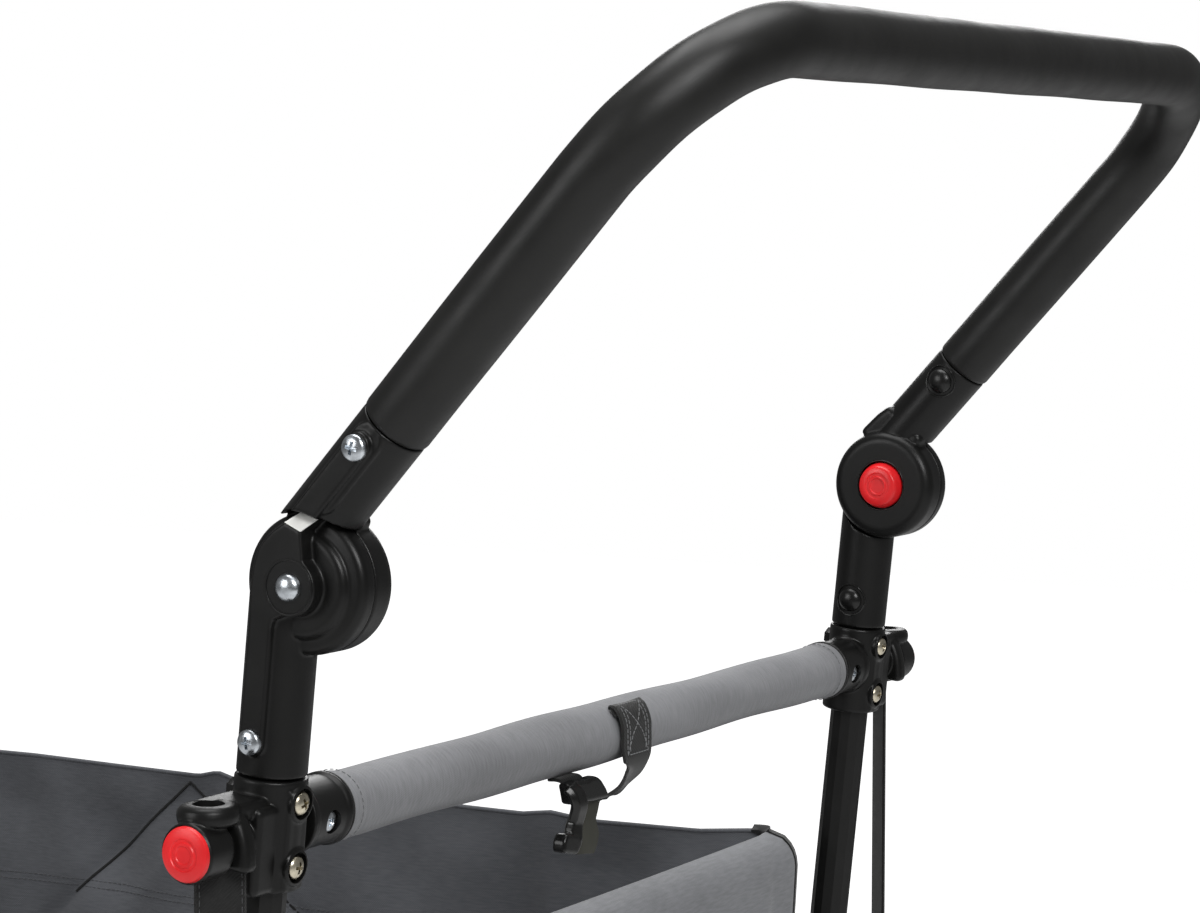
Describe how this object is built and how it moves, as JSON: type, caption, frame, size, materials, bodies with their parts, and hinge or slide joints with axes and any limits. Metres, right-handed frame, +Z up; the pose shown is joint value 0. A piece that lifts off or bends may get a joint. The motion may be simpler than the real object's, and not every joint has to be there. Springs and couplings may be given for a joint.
{
  "type": "folding wagon",
  "caption": "Folding push wagon with an open fabric tub, crossing side links, covered end rails, caster front wheels and a padded angle-adjustable push handle.",
  "frame": {"origin": "on the floor, under the centre of the bounding box with the wagon open", "axes": "+X the way the wagon is pushed, +Y its left side, +Z up"},
  "size_m": [1.0524, 0.6766, 1.1057],
  "materials": {
    "black_plastic": "black moulded nylon",
    "black_steel": "black powder coat",
    "foam": "dark grey foam",
    "red_plastic": "red moulded plastic",
    "zinc": "zinc plate",
    "grey_fabric": "grey woven polyester",
    "webbing": "black webbing",
    "rubber": "black tread rubber",
    "board": "cloth-covered stiff board"
  },
  "bodies": {
    "rear_frame": {"rear_post_left": "black_steel", "rear_post_right": "black_steel", "rear_bracket_left": "black_plastic", "rear_bracket_right": "black_plastic", "rear_rail": "black_steel", "rear_rail_cover": "grey_fabric", "rail_strap": "webbing", "lower_arm_left": "black_plastic", "lower_arm_right": "black_plastic", "pivot_bolt_left": "zinc", "pivot_bolt_right": "zinc", "rear_beam": "black_steel", "rear_axle": "zinc", "load_strap_left": "webbing", "load_strap_right": "webbing", "tub": "grey_fabric"},
    "handle": {"upper_arm_left": "black_plastic", "upper_arm_right": "black_plastic", "handle_tube": "black_steel", "handle_grip": "foam"},
    "angle_lock_left": {"angle_button_left": "red_plastic", "lock_gear_left": "zinc"},
    "angle_lock_right": {"angle_button_right": "red_plastic", "lock_gear_right": "zinc"},
    "canopy_release_left": {"socket_pin_left": "red_plastic"},
    "canopy_release_right": {"socket_pin_right": "red_plastic"},
    "buckle": {"strap_buckle": "black_plastic"},
    "rear_wheel_left": {"rear_tyre_left": "rubber", "rear_hub_left": "black_plastic"},
    "rear_wheel_right": {"rear_tyre_right": "rubber", "rear_hub_right": "black_plastic"},
    "brake": {"brake_bar": "black_plastic"},
    "rear_inner_links": {"rear_inner_link_left": "black_steel", "rear_inner_link_right": "black_steel"},
    "rear_outer_links": {"rear_outer_link_left": "black_steel", "rear_outer_link_right": "black_steel"},
    "rear_sliders": {"rear_slider_left": "black_plastic", "rear_slider_right": "black_plastic"},
    "front_outer_links": {"front_outer_link_left": "black_steel", "front_outer_link_right": "black_steel"},
    "front_inner_links": {"front_inner_link_left": "black_steel", "front_inner_link_right": "black_steel"},
    "front_sliders": {"front_slider_left": "black_plastic", "front_slider_right": "black_plastic"},
    "front_frame": {"front_post_left": "black_steel", "front_post_right": "black_steel", "front_bracket_left": "black_plastic", "front_bracket_right": "black_plastic", "front_rail": "black_steel", "front_rail_cover": "grey_fabric", "front_beam": "black_steel"},
    "caster_left": {"caster_fork_left": "black_plastic"},
    "caster_right": {"caster_fork_right": "black_plastic"},
    "front_wheel_left": {"front_tyre_left": "rubber", "front_hub_left": "black_plastic"},
    "front_wheel_right": {"front_tyre_right": "rubber", "front_hub_right": "black_plastic"},
    "rear_floor": {"rear_floor_board": "board"},
    "front_floor": {"front_floor_board": "board"}
  },
  "joints": [
    {"name": "fold", "type": "hinge", "parent": "rear_frame", "child": "rear_inner_links", "pos_m": [-0.27087, 0, 0.235], "axis": [0, -1, 0], "range_deg": [0, 47.92], "deforming": ["tub"]},
    {"name": "rear_cross", "type": "hinge", "parent": "rear_inner_links", "child": "rear_outer_links", "pos_m": [-0.08862, 0, 0.31737], "axis": [0, -1, 0], "range_deg": [-96, 1]},
    {"name": "rear_slide", "type": "hinge", "parent": "rear_outer_links", "child": "rear_sliders", "pos_m": [-0.27087, 0, 0.39974], "axis": [0, -1, 0], "range_deg": [-1, 48.5]},
    {"name": "middle", "type": "hinge", "parent": "rear_inner_links", "child": "front_outer_links", "pos_m": [0.09363, 0, 0.39974], "axis": [0, -1, 0], "range_deg": [-96, 1]},
    {"name": "front_cross", "type": "hinge", "parent": "front_outer_links", "child": "front_inner_links", "pos_m": [0.27588, 0, 0.31737], "axis": [0, -1, 0], "range_deg": [-1, 96]},
    {"name": "front_slide", "type": "hinge", "parent": "front_inner_links", "child": "front_sliders", "pos_m": [0.45813, 0, 0.39974], "axis": [0, -1, 0], "range_deg": [-48.5, 1]},
    {"name": "front_foot", "type": "hinge", "parent": "front_outer_links", "child": "front_frame", "pos_m": [0.45813, 0, 0.235], "axis": [0, -1, 0], "range_deg": [-1, 48.5]},
    {"name": "rear_board", "type": "hinge", "parent": "rear_frame", "child": "rear_floor", "pos_m": [-0.26387, 0, 0.2765], "axis": [0, -1, 0], "range_deg": [-1, 87]},
    {"name": "front_board", "type": "hinge", "parent": "front_frame", "child": "front_floor", "pos_m": [0.45113, 0, 0.2765], "axis": [0, 1, 0], "range_deg": [-1, 87]},
    {"name": "handle_angle", "type": "hinge", "parent": "rear_frame", "child": "handle", "pos_m": [-0.33666, 0, 0.88], "axis": [0, -1, 0], "range_deg": [-60, 110]},
    {"name": "angle_press_left", "type": "slide", "parent": "rear_frame", "child": "angle_lock_left", "axis": [0, 1, 0], "range_m": [0, 0.003], "stiffness_N_per_m": 400, "springref_m": -0.004},
    {"name": "angle_press_right", "type": "slide", "parent": "rear_frame", "child": "angle_lock_right", "axis": [0, -1, 0], "range_m": [0, 0.003], "stiffness_N_per_m": 400, "springref_m": -0.004},
    {"name": "canopy_press_left", "type": "slide", "parent": "rear_frame", "child": "canopy_release_left", "axis": [0, -1, 0], "range_m": [0, 0.003], "stiffness_N_per_m": 300, "springref_m": -0.004},
    {"name": "canopy_press_right", "type": "slide", "parent": "rear_frame", "child": "canopy_release_right", "axis": [0, 1, 0], "range_m": [0, 0.003], "stiffness_N_per_m": 300, "springref_m": -0.004},
    {"name": "buckle_swing", "type": "hinge", "parent": "rear_frame", "child": "buckle", "pos_m": [-0.31385, 0.054, 0.75885], "axis": [1, 0, 0], "range_deg": [-20, 50]},
    {"name": "rear_spin_left", "type": "hinge", "parent": "rear_frame", "child": "rear_wheel_left", "pos_m": [-0.29887, 0.31, 0.12], "axis": [0, 1, 0], "continuous": true},
    {"name": "rear_spin_right", "type": "hinge", "parent": "rear_frame", "child": "rear_wheel_right", "pos_m": [-0.29887, -0.31, 0.12], "axis": [0, 1, 0], "continuous": true},
    {"name": "caster_swivel_left", "type": "hinge", "parent": "front_frame", "child": "caster_left", "pos_m": [0.48613, 0.27, 0.186], "axis": [0, 0, 1], "continuous": true},
    {"name": "caster_swivel_right", "type": "hinge", "parent": "front_frame", "child": "caster_right", "pos_m": [0.48613, -0.27, 0.186], "axis": [0, 0, 1], "continuous": true},
    {"name": "front_spin_left", "type": "hinge", "parent": "caster_left", "child": "front_wheel_left", "pos_m": [0.44613, 0.27, 0.08], "axis": [0, 1, 0], "continuous": true},
    {"name": "front_spin_right", "type": "hinge", "parent": "caster_right", "child": "front_wheel_right", "pos_m": [0.44613, -0.27, 0.08], "axis": [0, 1, 0], "continuous": true},
    {"name": "brake_pedal", "type": "hinge", "parent": "rear_frame", "child": "brake", "pos_m": [-0.37687, 0, 0.228], "axis": [0, -1, 0], "range_deg": [0, 14]}
  ],
  "couplings": [
    {"joint": "rear_cross", "follows": "fold", "ratio": -2},
    {"joint": "rear_slide", "follows": "fold", "ratio": 1},
    {"joint": "middle", "follows": "fold", "ratio": -2},
    {"joint": "front_cross", "follows": "fold", "ratio": 2},
    {"joint": "front_slide", "follows": "fold", "ratio": -1},
    {"joint": "front_foot", "follows": "fold", "ratio": 1},
    {"joint": "rear_board", "follows": "fold", "ratio": 1.8},
    {"joint": "front_board", "follows": "fold", "ratio": 1.8}
  ]
}
